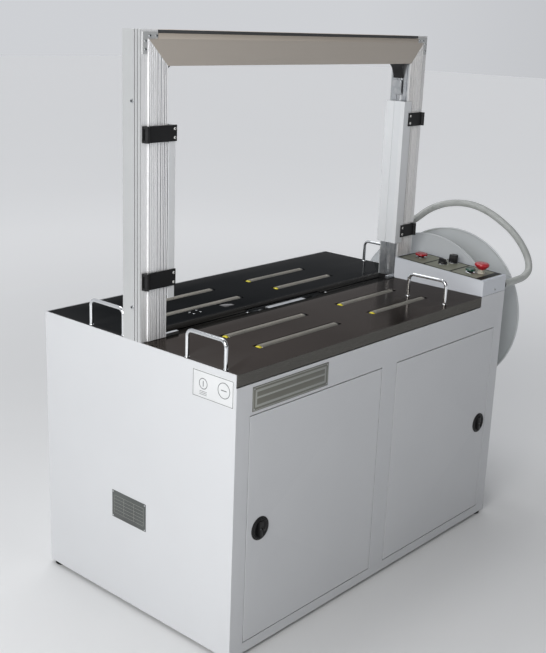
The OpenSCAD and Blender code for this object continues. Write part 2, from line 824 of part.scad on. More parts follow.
base_frame();
front_frame();
left_panel();
right_panel();
rear_panel();
levelling_feet();
slot_plate();
control_box();
control_overlay();
label_plates();
screws();
cable_glands();
arch_left_column();
arch_right_column();
arch_beam();
arch_covers();
corner_plates();
strap_track();
gate_hinges();
door_hinges();
table_pivots();
head_frame();
drive_motors();
electric_box();
strap_magazine();
reel_bracket();
conduit_hose();
parcel_sensor();
left_door();
right_door();
left_latch();
right_latch();
red_button();
green_button();
selector_knob();
tension_knob();
estop_button();
front_table_plate();
rear_table_plate();
front_handles();
rear_handles();
left_gate();
right_gate();
left_gate_arms();
right_gate_arms();
reel_hub();
reel_flanges();
strap_coil();
roller_a_left();
roller_a_right();
roller_b_left();
roller_b_right();
roller_c_left();
roller_c_right();
roller_d_left();
roller_d_right();
anvil_slide();
cam_shaft();
feed_roller();
pinch_roller();
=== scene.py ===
"""Looks of the strapping machine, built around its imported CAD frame."""

import math

import bmesh
import bpy
from mathutils import Matrix, Vector


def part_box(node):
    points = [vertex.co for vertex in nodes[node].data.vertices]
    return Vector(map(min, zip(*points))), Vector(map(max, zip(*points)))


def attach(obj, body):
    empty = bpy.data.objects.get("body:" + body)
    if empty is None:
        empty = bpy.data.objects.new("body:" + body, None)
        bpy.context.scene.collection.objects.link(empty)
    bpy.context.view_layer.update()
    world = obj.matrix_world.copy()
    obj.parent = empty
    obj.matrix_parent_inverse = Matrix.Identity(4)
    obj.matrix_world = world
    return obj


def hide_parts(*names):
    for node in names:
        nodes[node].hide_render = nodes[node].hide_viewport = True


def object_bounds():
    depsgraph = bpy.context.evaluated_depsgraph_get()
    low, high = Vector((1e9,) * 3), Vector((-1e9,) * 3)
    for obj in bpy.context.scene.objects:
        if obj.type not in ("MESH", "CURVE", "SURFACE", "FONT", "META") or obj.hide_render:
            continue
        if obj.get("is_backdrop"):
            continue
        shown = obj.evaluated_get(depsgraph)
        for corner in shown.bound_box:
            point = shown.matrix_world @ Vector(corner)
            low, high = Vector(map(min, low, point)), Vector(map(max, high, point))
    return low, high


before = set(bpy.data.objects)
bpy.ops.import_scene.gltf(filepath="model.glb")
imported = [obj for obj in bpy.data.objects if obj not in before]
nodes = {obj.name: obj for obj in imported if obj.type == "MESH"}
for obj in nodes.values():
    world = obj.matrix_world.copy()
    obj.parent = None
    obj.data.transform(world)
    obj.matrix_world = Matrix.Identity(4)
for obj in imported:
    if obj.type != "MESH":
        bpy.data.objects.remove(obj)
cad_low, cad_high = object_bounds()
scene = bpy.context.scene
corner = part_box("front_frame")[0]  # front left bottom corner of the cabinet
MM = 0.001


def size_in(node):
    """Lowest and highest corner of a CAD node, in millimetres from the cabinet's corner."""
    low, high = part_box(node)
    return (low - corner) / MM, (high - corner) / MM


TABLE = size_in("slot_plate")[1].z  # height of the table top
TOP = size_in("arch_beam")[1].z
ARCH_W = size_in("arch_right_column")[1].x
COLUMN = size_in("arch_left_column")[1].x
ARCH_Y = size_in("arch_covers")[0].y
ARCH_BACK = size_in("arch_beam")[1].y
CAB_W, CAB_D = size_in("right_panel")[1].x, size_in("rear_panel")[1].y


def at(x, y, z):
    return corner + Vector((x, y, z)) * MM


# ---------------------------------------------------------------- camera, light, floor

CAMERA = at(-1644.4, -1538.4, 1531.9)
AZIMUTH, ELEVATION, ROLL = (math.radians(a) for a in (48.88, 16.39, 2.20))
FOCAL_MM = 57.5


def make_camera():
    forward = Vector((
        math.sin(AZIMUTH) * math.cos(ELEVATION),
        math.cos(AZIMUTH) * math.cos(ELEVATION),
        -math.sin(ELEVATION),
    ))
    right = Vector((math.cos(AZIMUTH), -math.sin(AZIMUTH), 0))
    up = right.cross(forward)
    r2 = right * math.cos(ROLL) + up * math.sin(ROLL)
    u2 = up * math.cos(ROLL) - right * math.sin(ROLL)
    data = bpy.data.cameras.new("camera")
    data.lens, data.sensor_width, data.sensor_fit = FOCAL_MM, 36, "AUTO"
    data.clip_end = 100
    obj = bpy.data.objects.new("camera", data)
    scene.collection.objects.link(obj)
    turn = Matrix((r2, u2, -forward)).transposed().to_4x4()
    obj.matrix_world = Matrix.Translation(CAMERA) @ turn
    scene.camera = obj


def area_light(name, place, target, size, power, colour=(1, 1, 1)):
    data = bpy.data.lights.new(name, "AREA")
    data.shape, data.size, data.size_y = "RECTANGLE", size[0], size[1]
    data.energy, data.color = power, colour
    obj = bpy.data.objects.new(name, data)
    scene.collection.objects.link(obj)
    obj.location = place
    obj.rotation_mode = "QUATERNION"
    obj.rotation_quaternion = (Vector(target) - Vector(place)).to_track_quat("-Z", "Y")


make_camera()
area_light("key", (-3.9, -1.7, 2.3), (-0.2, 0, 0.6), (2.6, 2.2), 122, (1.0, 0.995, 0.98))
area_light("overhead", (0.2, 1.2, 4.0), (0, 0, 0.6), (3.0, 2.0), 48)
scene.view_settings.view_transform = "Standard"


def make_world():
    """Pale studio: brighter behind the machine than in front of it."""
    world = bpy.data.worlds.new("studio")
    scene.world = world
    world.use_nodes = True
    tree = world.node_tree
    coords = tree.nodes.new("ShaderNodeTexCoord")
    parts = tree.nodes.new("ShaderNodeSeparateXYZ")
    level = tree.nodes.new("ShaderNodeMapRange")
    level.inputs["From Min"].default_value, level.inputs["From Max"].default_value = -0.5, 0.6
    level.inputs["To Min"].default_value, level.inputs["To Max"].default_value = 0.10, 0.66
    tree.links.new(coords.outputs["Generated"], parts.inputs["Vector"])
    tree.links.new(parts.outputs["Y"], level.inputs["Value"])
    tree.links.new(level.outputs["Result"], tree.nodes["Background"].inputs["Strength"])
    tree.nodes["Background"].inputs["Color"].default_value = (0.94, 0.96, 1.0, 1)


make_world()


# ---------------------------------------------------------------- materials


def procedural(name, base, second, rough, metal=0.0, grain=(500, 500, 500), bump=0.08,
               blotch=5.0, spread=0.07, wear_and_highlight=None, wear_and_highlight_amount=0.5, coat=0.0, depth=0.0002,
               tint=None, specular=0.5):
    """Principled material: base and second colour in soft patches, a fine grain that moves
    roughness and normal, and a lighter or darker tone along sharp edges, which is wear on most
    materials and a painted highlight on the table steel and the rib covers. A dark tint dims what
    a metal mirrors at a flat angle."""
    material = bpy.data.materials.new(name)
    material.use_nodes = True
    tree = material.node_tree
    shader = tree.nodes["Principled BSDF"]
    make, link = tree.nodes.new, tree.links.new
    coords = make("ShaderNodeTexCoord")
    patches = make("ShaderNodeTexNoise")
    patches.inputs["Scale"].default_value = blotch
    patches.inputs["Detail"].default_value = 6
    link(coords.outputs["Object"], patches.inputs["Vector"])
    span = make("ShaderNodeMapRange")
    span.inputs["From Min"].default_value, span.inputs["From Max"].default_value = 0.35, 0.65
    link(patches.outputs["Fac"], span.inputs["Value"])
    mix = make("ShaderNodeMix")
    mix.data_type = "RGBA"
    mix.inputs["A"].default_value = (*base, 1)
    mix.inputs["B"].default_value = (*second, 1)
    link(span.outputs["Result"], mix.inputs["Factor"])
    colour = mix.outputs["Result"]
    # edge tone: wear on most materials, painted highlight on the table steel and the rib covers
    if wear_and_highlight:
        geometry = make("ShaderNodeNewGeometry")
        edge = make("ShaderNodeMapRange")
        edge.inputs["From Min"].default_value, edge.inputs["From Max"].default_value = 0.52, 0.62
        edge.inputs["To Max"].default_value = wear_and_highlight_amount
        link(geometry.outputs["Pointiness"], edge.inputs["Value"])
        wear_and_highlight_mix = make("ShaderNodeMix")
        wear_and_highlight_mix.data_type = "RGBA"
        wear_and_highlight_mix.inputs["B"].default_value = (*wear_and_highlight, 1)
        link(edge.outputs["Result"], wear_and_highlight_mix.inputs["Factor"])
        link(colour, wear_and_highlight_mix.inputs["A"])
        colour = wear_and_highlight_mix.outputs["Result"]
    link(colour, shader.inputs["Base Color"])
    stretch = make("ShaderNodeMapping")
    stretch.inputs["Scale"].default_value = grain
    link(coords.outputs["Object"], stretch.inputs["Vector"])
    fine = make("ShaderNodeTexNoise")
    fine.inputs["Scale"].default_value = 1.0
    fine.inputs["Detail"].default_value = 4
    link(stretch.outputs["Vector"], fine.inputs["Vector"])
    gloss = make("ShaderNodeMapRange")
    gloss.inputs["From Min"].default_value, gloss.inputs["From Max"].default_value = 0.3, 0.7
    gloss.inputs["To Min"].default_value = max(0.02, rough - spread)
    gloss.inputs["To Max"].default_value = rough + spread
    link(fine.outputs["Fac"], gloss.inputs["Value"])
    link(gloss.outputs["Result"], shader.inputs["Roughness"])
    relief = make("ShaderNodeBump")
    relief.inputs["Strength"].default_value = bump
    relief.inputs["Distance"].default_value = depth
    link(fine.outputs["Fac"], relief.inputs["Height"])
    link(relief.outputs["Normal"], shader.inputs["Normal"])
    shader.inputs["Metallic"].default_value = metal
    shader.inputs["Coat Weight"].default_value = coat
    shader.inputs["Specular IOR Level"].default_value = specular
    if tint:
        shader.inputs["Specular Tint"].default_value = (*tint, 1)
    return material


def ringed(name, base, second, rough, pitch, axis_point):
    """Material of wound strap: thin rings round an axis along X through axis_point."""
    material = procedural(name, base, second, rough, grain=(900, 900, 900), blotch=9)
    tree = material.node_tree
    coords = tree.nodes.new("ShaderNodeTexCoord")
    shift = tree.nodes.new("ShaderNodeMapping")
    shift.inputs["Location"].default_value = [-c for c in axis_point]
    rings = tree.nodes.new("ShaderNodeTexWave")
    rings.wave_type, rings.rings_direction = "RINGS", "X"
    rings.inputs["Scale"].default_value = 1 / pitch / 3.2
    rings.inputs["Distortion"].default_value = 1.2
    relief = tree.nodes.new("ShaderNodeBump")
    relief.inputs["Strength"].default_value = 0.6
    relief.inputs["Distance"].default_value = 0.0006
    tree.links.new(coords.outputs["Object"], shift.inputs["Vector"])
    tree.links.new(shift.outputs["Vector"], rings.inputs["Vector"])
    tree.links.new(rings.outputs["Fac"], relief.inputs["Height"])
    tree.links.new(relief.outputs["Normal"], tree.nodes["Principled BSDF"].inputs["Normal"])
    return material


cabinet_paint = procedural("cabinet_paint", (0.60, 0.612, 0.635), (0.585, 0.597, 0.62), 0.42,
                           grain=(700, 700, 700), bump=0.10, wear_and_highlight=(0.80, 0.81, 0.82), wear_and_highlight_amount=0.6)
frame_paint = procedural("frame_paint", (0.17, 0.18, 0.19), (0.14, 0.15, 0.16), 0.5,
                         wear_and_highlight=(0.3, 0.3, 0.3))
box_paint = procedural("box_paint", (0.55, 0.585, 0.65), (0.52, 0.555, 0.62), 0.42, wear_and_highlight=(0.8, 0.8, 0.8))
reel_paint = procedural("reel_paint", (0.54, 0.565, 0.585), (0.50, 0.525, 0.545), 0.5, blotch=3,
                        wear_and_highlight=(0.75, 0.76, 0.77))
# Front and rear plates are one stainless steel: the front's warm tone is a painted reflection of the carton,
# the rear's darker tone a painted reflection of dark surroundings, and their light edges are painted
# highlights.
table_steel = procedural("table_steel", (0.115, 0.098, 0.090), (0.085, 0.073, 0.067), 0.18, metal=1.0,
                         grain=(9, 900, 900), bump=0.05, blotch=2.2, spread=0.05,
                         wear_and_highlight=(0.62, 0.60, 0.57), wear_and_highlight_amount=0.95, tint=(0.47, 0.465, 0.46))
rear_steel_painted_reflection = procedural("rear_steel_painted_reflection", (0.070, 0.072, 0.074), (0.052, 0.054, 0.056), 0.16, metal=1.0,
                        grain=(9, 900, 900), bump=0.05, blotch=2.2, spread=0.05,
                        wear_and_highlight=(0.55, 0.54, 0.52), wear_and_highlight_amount=0.9, tint=(0.33, 0.33, 0.33))
# The lip is a darker copy of the same steel, painted shade on the front-facing lip, with a painted highlight
# along its top edge; its coarser grain is the brushing.
lip_steel_painted_shade = procedural("lip_steel_painted_shade", (0.026, 0.025, 0.021), (0.016, 0.0155, 0.013), 0.34, metal=0.9,
                       grain=(30, 400, 400), bump=0.25, blotch=18, spread=0.12,
                       wear_and_highlight=(0.62, 0.60, 0.56), wear_and_highlight_amount=0.9, tint=(0.30, 0.295, 0.28))
slot_steel = procedural("slot_steel", (0.050, 0.048, 0.045), (0.035, 0.034, 0.033), 0.24, metal=1.0,
                        grain=(9, 900, 900), bump=0.08, blotch=3, wear_and_highlight=(0.5, 0.49, 0.47),
                        tint=(0.33, 0.33, 0.33))
chrome = procedural("chrome", (0.78, 0.79, 0.80), (0.70, 0.72, 0.74), 0.10, metal=1.0, bump=0.02, spread=0.03)
column_alu = procedural("column_alu", (0.64, 0.65, 0.65), (0.59, 0.60, 0.60), 0.40, metal=0.55,
                        grain=(1100, 1100, 6), bump=0.16, blotch=4)
# Rib covers: the white edge tone is a painted highlight on the rib edges; the darker right copy is painted
# shade.
rib_alu = procedural("rib_alu", (0.69, 0.70, 0.74), (0.62, 0.63, 0.68), 0.30, metal=0.35,
                     grain=(1100, 1100, 6), bump=0.10, blotch=4, wear_and_highlight=(1.0, 1.0, 1.0), wear_and_highlight_amount=0.8)
shaded_right_rib_alu = procedural("shaded_right_rib_alu", (0.52, 0.50, 0.49), (0.46, 0.445, 0.44), 0.32, metal=0.35,
                           grain=(1100, 1100, 6), bump=0.10, blotch=4, wear_and_highlight=(0.9, 0.9, 0.9), wear_and_highlight_amount=0.8)
# Dark aluminium for groove bottoms: painted shade in the grooves.
groove_shade_alu = procedural("groove_shade_alu", (0.085, 0.086, 0.10), (0.06, 0.06, 0.075), 0.5, metal=0.4,
                        grain=(1100, 1100, 6), blotch=4)
# The beam's brown tone is painted shade and reflection on its aluminium.
beam_alu_painted_shade = procedural("beam_alu_painted_shade", (0.52, 0.435, 0.35), (0.465, 0.39, 0.315), 0.42, metal=0.35,
                      grain=(5, 900, 900), bump=0.10, blotch=1.6, wear_and_highlight=(0.6, 0.58, 0.55))
# Near-black for the beam's top edge and front face: painted shadow under the cover.
beam_shade = procedural("beam_shade", (0.075, 0.078, 0.080), (0.06, 0.06, 0.062), 0.5, metal=0.3,
                        grain=(5, 900, 900), blotch=3)
gate_paint = procedural("gate_paint", (0.74, 0.76, 0.78), (0.70, 0.72, 0.74), 0.36, wear_and_highlight=(0.85, 0.85, 0.86))
black_paint = procedural("black_paint", (0.008, 0.008, 0.009), (0.013, 0.013, 0.014), 0.45, bump=0.2,
                         wear_and_highlight=(0.05, 0.05, 0.05), specular=0.25)
black_plastic = procedural("black_plastic", (0.009, 0.009, 0.010), (0.014, 0.014, 0.015), 0.40, bump=0.2,
                           grain=(1400, 1400, 1400), wear_and_highlight=(0.03, 0.03, 0.03), specular=0.3)
screw_bright = procedural("screw_bright", (0.80, 0.80, 0.78), (0.70, 0.70, 0.69), 0.35, metal=0.2, blotch=60)
zinc = procedural("zinc", (0.62, 0.63, 0.64), (0.48, 0.50, 0.52), 0.34, metal=1.0, blotch=60, bump=0.12)
roller_steel = procedural("roller_steel", (0.36, 0.34, 0.30), (0.29, 0.28, 0.25), 0.30, metal=0.9,
                          grain=(14, 900, 900), bump=0.14, blotch=12, tint=(0.7, 0.68, 0.65))
red_plastic = procedural("red_plastic", (0.46, 0.012, 0.022), (0.38, 0.009, 0.018), 0.28, bump=0.05, coat=0.2)
green_plastic = procedural("green_plastic", (0.008, 0.062, 0.038), (0.006, 0.048, 0.030), 0.30, bump=0.05,
                           coat=0.2)
yellow_plastic = procedural("yellow_plastic", (0.86, 0.74, 0.015), (0.78, 0.66, 0.01), 0.36, bump=0.15)
# Light cream for the stop button's neck: a painted highlight on a chrome neck.
stop_neck_painted_highlight = procedural("stop_neck_painted_highlight", (0.70, 0.67, 0.55), (0.62, 0.59, 0.50), 0.36, bump=0.1)
white_mark = procedural("white_mark", (0.85, 0.85, 0.83), (0.76, 0.76, 0.74), 0.5)
film_olive = procedural("film_olive", (0.215, 0.22, 0.165), (0.185, 0.19, 0.14), 0.46, bump=0.2,
                        grain=(1500, 1500, 1500), blotch=14)
film_dark = procedural("film_dark", (0.010, 0.010, 0.009), (0.014, 0.014, 0.013), 0.5, specular=0.12)
paper = procedural("paper", (0.74, 0.75, 0.76), (0.70, 0.71, 0.72), 0.5, bump=0.15, blotch=20)
ink = procedural("ink", (0.10, 0.11, 0.12), (0.16, 0.17, 0.17), 0.5, blotch=90)
name_metal = procedural("name_metal", (0.20, 0.20, 0.165), (0.16, 0.16, 0.14), 0.36, metal=0.4,
                        grain=(9, 1200, 1200), bump=0.12)
name_light = procedural("name_light", (0.38, 0.39, 0.36), (0.32, 0.33, 0.31), 0.38, metal=0.3)
plate_metal = procedural("plate_metal", (0.13, 0.14, 0.135), (0.09, 0.095, 0.09), 0.36, metal=0.5,
                         grain=(1200, 9, 1200), bump=0.12)
hose_white = procedural("hose_white", (0.46, 0.475, 0.465), (0.40, 0.415, 0.405), 0.48, bump=0.2, blotch=26)
motor_paint = procedural("motor_paint", (0.06, 0.09, 0.13), (0.05, 0.07, 0.10), 0.42, wear_and_highlight=(0.25, 0.26, 0.28))
feed_rubber = procedural("feed_rubber", (0.02, 0.02, 0.02), (0.035, 0.035, 0.035), 0.75, bump=0.4)
dark_glass = procedural("dark_glass", (0.012, 0.010, 0.010), (0.02, 0.012, 0.012), 0.08, bump=0.02, coat=0.5)
# Near-black for the bottoms of recesses and bores: painted shade.
hole_painted_shade = procedural("hole_painted_shade", (0.01, 0.01, 0.01), (0.015, 0.015, 0.015), 0.7)
reel_low, reel_high = size_in("reel_flanges")
reel_mid = (reel_low + reel_high) / 2
strap = ringed("strap", (0.56, 0.53, 0.36), (0.50, 0.47, 0.31), 0.38, 0.0016, at(*reel_mid))
floor_grey = procedural("floor_grey", (0.78, 0.785, 0.79), (0.765, 0.77, 0.775), 0.6, blotch=0.8, bump=0.02)


def lift_far_floor(material):
    """Keeps the floor pale away from the lamps, where it would fall off to grey."""
    tree = material.node_tree
    place = tree.nodes.new("ShaderNodeNewGeometry")
    far = tree.nodes.new("ShaderNodeVectorMath")
    far.operation = "LENGTH"
    glow = tree.nodes.new("ShaderNodeMapRange")
    glow.interpolation_type = "SMOOTHSTEP"
    glow.inputs["From Min"].default_value, glow.inputs["From Max"].default_value = 0.8, 5.0
    glow.inputs["To Min"].default_value, glow.inputs["To Max"].default_value = 0.0, 0.33
    shader = tree.nodes["Principled BSDF"]
    shader.inputs["Emission Color"].default_value = (0.97, 0.98, 1.0, 1)
    tree.links.new(place.outputs["Position"], far.inputs[0])
    tree.links.new(far.outputs["Value"], glow.inputs["Value"])
    tree.links.new(glow.outputs["Result"], shader.inputs["Emission Strength"])


lift_far_floor(floor_grey)


# ---------------------------------------------------------------- building blocks


def soften(mesh, angle=35):
    mesh.polygons.foreach_set("use_smooth", [True] * len(mesh.polygons))
    mesh.set_sharp_from_angle(angle=math.radians(angle))


class Shape:
    """Gathers forms in millimetres from the cabinet's corner, then makes one piece of them."""

    def __init__(self):
        self.verts, self.faces, self.slots = [], [], []
        self.place = Matrix.Identity(4)

    def add(self, verts, faces, slot=0):
        start = len(self.verts)
        self.verts += [self.place @ Vector(v) for v in verts]
        self.faces += [[start + i for i in face] for face in faces]
        self.slots += [slot] * len(faces)
        return self

    def lathe(self, profile, base, axis, segs=48, slot=0, lobes=0, depth=0.0, turn=0.0):
        """Turns (radius, height) pairs round an axis; lobes scallop the outside by depth."""
        axis = Vector(axis).normalized()
        side = axis.orthogonal().normalized()
        other = axis.cross(side)
        verts, faces, rings = [], [], []
        for r, h in profile:
            centre = Vector(base) + axis * h
            ring = []
            for k in range(1 if r == 0 else segs):
                a = math.tau * k / segs + turn
                rr = r - depth * (0.5 + 0.5 * math.cos(lobes * a)) if lobes and r > depth * 3 else r
                ring.append(len(verts))
                verts.append(centre + rr * (side * math.cos(a) + other * math.sin(a)))
            rings.append(ring)
        for a, b in zip(rings, rings[1:]):
            for k in range(segs):
                n = (k + 1) % segs
                face = [a[k % len(a)], a[n % len(a)], b[n % len(b)], b[k % len(b)]]
                face = list(dict.fromkeys(face))
                if len(face) > 2:
                    faces.append(face)
        return self.add(verts, faces, slot)

    def box(self, low, high, bevel=0.6, slot=0, turn=None):
        """Box with rounded edges, turned about its middle if asked."""
        low, high = Vector(low), Vector(high)
        size, mid = high - low, (low + high) / 2
        bm = bmesh.new()
        bmesh.ops.create_cube(bm, size=1)
        for v in bm.verts:
            v.co = Vector((v.co.x * size.x, v.co.y * size.y, v.co.z * size.z))
        bmesh.ops.bevel(bm, geom=bm.edges[:], offset=min(bevel, min(size) * 0.45), segments=2,
                        profile=0.5, affect="EDGES")
        bm.verts.ensure_lookup_table()
        turn = turn or Matrix.Identity(3)
        verts = [turn @ v.co + mid for v in bm.verts]
        faces = [[v.index for v in f.verts] for f in bm.faces]
        bm.free()
        return self.add(verts, faces, slot)

    def prism(self, outline, start, end, dark=None):
        """Joins an outline's points at start(u, v) to those at end(u, v), with both ends closed.
        Strips whose outline points both meet dark(u, v) take the second material, painted shade in every use."""
        n = len(outline)
        verts = [start(*p) for p in outline] + [end(*p) for p in outline]
        self.add(verts, [[i, (i + 1) % n, n + (i + 1) % n, n + i] for i in range(n)]
                 + [list(range(n)), list(range(n, 2 * n))])
        if dark:
            deep = [dark(*p) for p in outline]
            first = len(self.slots) - n - 2
            for i in range(n):
                if deep[i] and deep[(i + 1) % n]:
                    self.slots[first + i] = 1
        return self

    def sweep(self, path, radii, sides=16, slot=0):
        """Tube along a path with a radius for each point."""
        path = [Vector(p) for p in path]
        verts, faces = [], []
        side = None
        for i, p in enumerate(path):
            along = (path[min(i + 1, len(path) - 1)] - path[max(i - 1, 0)]).normalized()
            side = along.orthogonal() if side is None else side - along * side.dot(along)
            side.normalize()
            other = along.cross(side)
            for k in range(sides):
                a = math.tau * k / sides
                verts.append(p + radii[i] * (side * math.cos(a) + other * math.sin(a)))
        for i in range(len(path) - 1):
            for k in range(sides):
                n = (k + 1) % sides
                faces.append([i * sides + k, i * sides + n, (i + 1) * sides + n, (i + 1) * sides + k])
        last = (len(path) - 1) * sides
        faces += [list(range(sides)), [last + k for k in range(sides)]]
        return self.add(verts, faces, slot)

    def screw(self, place, axis, r, slot=0, recess=1, height=None):
        """Button-head screw with a round recess."""
        h = height or r * 0.55
        self.lathe([(0, 0), (r, 0), (r, h * 0.35), (r * 0.86, h * 0.8), (r * 0.6, h), (r * 0.5, h)],
                   place, axis, 20, slot)
        # the recess takes the recess slot, painted shade in every use
        return self.lathe([(r * 0.5, h), (r * 0.46, h * 0.25), (0, h * 0.25)], place, axis, 20, recess)

    def build(self, name, body, materials, stands_for=(), angle=35, bevel=0.0):
        mesh = bpy.data.meshes.new(name)
        mesh.from_pydata([corner + v * MM for v in self.verts], [], self.faces)
        for material in materials:
            mesh.materials.append(material)
        mesh.polygons.foreach_set("material_index", self.slots)
        bm = bmesh.new()
        bm.from_mesh(mesh)
        bmesh.ops.remove_doubles(bm, verts=bm.verts, dist=2e-6)
        bmesh.ops.recalc_face_normals(bm, faces=bm.faces)
        bm.to_mesh(mesh)
        bm.free()
        soften(mesh, angle)
        obj = bpy.data.objects.new(name, mesh)
        scene.collection.objects.link(obj)
        if bevel:
            round_edges(obj, bevel)
        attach(obj, body)
        if stands_for:
            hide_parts(*stands_for)
        return obj


def round_edges(obj, width, segments=2):
    bevel = obj.modifiers.new("rounded", "BEVEL")
    bevel.width, bevel.segments = width * MM, segments
    bevel.limit_method, bevel.angle_limit = "ANGLE", math.radians(40)
    bevel.use_clamp_overlap = True
    flat = obj.modifiers.new("flat_faces", "WEIGHTED_NORMAL")
    flat.mode, flat.weight, flat.keep_sharp = "FACE_AREA", 80, True


def keep(node, materials, bevel=0.6):
    """Keeps a CAD node's shape: procedural materials, rounded edges and smooth curved faces."""
    obj = nodes[node]
    mesh = obj.data
    mesh.materials.clear()
    for material in materials if isinstance(materials, list) else [materials]:
        mesh.materials.append(material)
    mesh.polygons.foreach_set("material_index", [0] * len(mesh.polygons))
    for layer in [a for a in mesh.attributes if a.name == "custom_normal"]:
        mesh.attributes.remove(layer)
    soften(mesh)
    weld = obj.modifiers.new("welded", "WELD")
    weld.merge_threshold = 1e-6
    if bevel:
        round_edges(obj, bevel)
    return obj


# ---------------------------------------------------------------- CAD nodes that keep their shape

for node, material, bevel in [
    ("base_frame", frame_paint, 0.8), ("front_frame", cabinet_paint, 0.6), ("left_panel", cabinet_paint, 0.6),
    ("right_panel", cabinet_paint, 0.6), ("rear_panel", cabinet_paint, 0.5),
    ("left_door", cabinet_paint, 0.6),
    ("right_door", cabinet_paint, 0.6), ("slot_plate", slot_steel, 0.4), ("control_box", box_paint, 0.9),
    ("control_overlay", film_olive, 0.25), ("gate_hinges", black_paint, 0.5), ("door_hinges", zinc, 0.6),
    ("table_pivots", zinc, 0.5), ("head_frame", zinc, 0.6), ("electric_box", box_paint, 0.8),
    ("strap_magazine", box_paint, 0.6), ("reel_bracket", black_paint, 0.8),
    ("parcel_sensor", black_plastic, 0.8),
    ("rear_table_plate", rear_steel_painted_reflection, 0.5),
    ("left_gate", gate_paint, 0.4), ("right_gate", gate_paint, 0.4), ("left_gate_arms", black_paint, 0.6),
    ("right_gate_arms", black_paint, 0.6), ("reel_hub", zinc, 0.8), ("anvil_slide", zinc, 0.6),
    ("cam_shaft", zinc, 0.5), ("feed_roller", feed_rubber, 0.5), ("pinch_roller", zinc, 0.5),
    ("corner_plates", column_alu, 0.5),
]:
    keep(node, material, bevel)


# ---------------------------------------------------------------- arch


# grooves in a column's outer side: y where each starts, width
GROOVES = ((331.6, 1.5), (342, 2.4), (352, 2.6))


def column_outline():
    """Section of a column: x from its outer side, y from front to back; fine grooves in the side."""
    front, back = ARCH_Y + 3, ARCH_BACK
    outline = [(0.0, front)]
    for start, wide in GROOVES:
        outline += [(0.0, start), (2.4, start), (2.4, start + wide), (0.0, start + wide)]
    outline += [(0.0, back), (COLUMN, back), (COLUMN, back - 3), (COLUMN - 13, back - 3)]
    return outline + [(COLUMN - 13, front + 3), (COLUMN, front + 3), (COLUMN, front)]


# grooves of a front cover: start from the column's outer side, width, depth
FLUTES = [(24.6, 1.4, 1.6), (31.5, 0.9, 0.7), (37, 0.9, 0.7), (42.5, 0.9, 0.9), (49.6, 2.4, 2.4),
          (55, 1.0, 1.2), (59.4, 3.0, 2.4), (66, 1.8, 1.8), (71, 3.0, 2.4), (77, 2.0, 1.8)]


def flute_outline():
    """Front cover: u from the outer side, v from front to back, with grooves along it."""
    front, back = ARCH_Y, ARCH_Y + 3
    outline = [(21.0, back), (21.0, front + 0.5), (21.5, front)]
    for start, wide, deep in FLUTES:
        end = start + wide
        outline += [(start - 0.3, front), (start, front + 0.4), (start + 0.1, front + deep),
                    (end - 0.1, front + deep), (end, front + 0.4), (end + 0.3, front)]
    return outline + [(COLUMN - 0.5, front), (COLUMN, front + 0.5), (COLUMN, back)]


for name, mirror in (("left", False), ("right", True)):
    def side(x, mirror=mirror):
        return ARCH_W - x if mirror else x

    column = Shape()
    # the bottoms of the side grooves take painted shade
    column.prism(column_outline(), lambda u, v: (side(u), v, TABLE), lambda u, v: (side(u), v, TOP),
                 lambda u, v: u > 1 and u < 5)
    column.slots[-3] = 2  # the strip that shows in front
    cap = sorted((side(COLUMN - 13.5), side(COLUMN)))
    column.box((cap[0], ARCH_Y + 5, TOP - 3), (cap[1], ARCH_BACK - 2, TOP), 0.3)
    # the right column's strip and cover take the darker copy: painted shade
    strip_alu = shaded_right_rib_alu if mirror else rib_alu
    column.build(f"{name}_column", "machine", [column_alu, groove_shade_alu, strip_alu],
                 [f"arch_{name}_column"])
    cover = Shape()
    # the flute bottoms take painted shade
    cover.prism(flute_outline(), lambda u, v: (side(u), v, TABLE + 0.3),
                lambda u, v: (side(u), v, TOP - u - 0.2),
                lambda u, v: v > ARCH_Y + 0.45 and v < ARCH_Y + 2.9)
    cover.build(f"{name}_column_cover", "machine", [strip_alu, groove_shade_alu],
                ["arch_covers"] if mirror else ())

beam = Shape()
# the beam's front face behind the cover takes painted shadow
beam.prism([(TOP - u, v) for u, v in column_outline()],
           lambda z, y: (COLUMN, y, z), lambda z, y: (ARCH_W - COLUMN, y, z), lambda z, y: y < ARCH_Y + 3.5)
beam.build("beam", "machine", [beam_alu_painted_shade, beam_shade], ["arch_beam"], bevel=0.5)
beam_cover = Shape()
face = [(21.0, ARCH_Y + 3), (21.0, ARCH_Y), (COLUMN - 0.6, ARCH_Y), (COLUMN, ARCH_Y + 0.6),
        (COLUMN, ARCH_Y + 3)]
beam_cover.prism(face, lambda u, v: (u, v, TOP - u), lambda u, v: (ARCH_W - u, v, TOP - u))
beam_cover.box((51, ARCH_Y, TOP - 20.9), (ARCH_W - 51, ARCH_Y + 3, TOP - 8), 0.2)
# dark strip along the top edge: painted shadow under the cover
beam_cover.box((51, ARCH_Y + 2, TOP - 7.9), (ARCH_W - 51, ARCH_Y + 3, TOP - 0.4), 0.15, 1)
beam_cover.build("beam_cover", "machine", [beam_alu_painted_shade, beam_shade])

track = keep("strap_track", [zinc, black_plastic, slot_steel], 0.4)
guide_z = (TOP - COLUMN - 45.5) * MM + corner.z
# the front-facing lip takes the darker copy: painted shade
for polygon in keep("front_table_plate", [table_steel, lip_steel_painted_shade], 0.5).data.polygons:
    if polygon.center.y < corner.y + 3.05 * MM and abs(polygon.normal.z) < 0.5:
        polygon.material_index = 1
for polygon in track.data.polygons:
    middle = polygon.center
    inside = (COLUMN + 0.05) * MM < middle.x - corner.x < (ARCH_W - COLUMN - 0.05) * MM
    if inside and guide_z < middle.z < (TOP - COLUMN - 0.05) * MM + corner.z:
        polygon.material_index = 1


# ---------------------------------------------------------------- screws

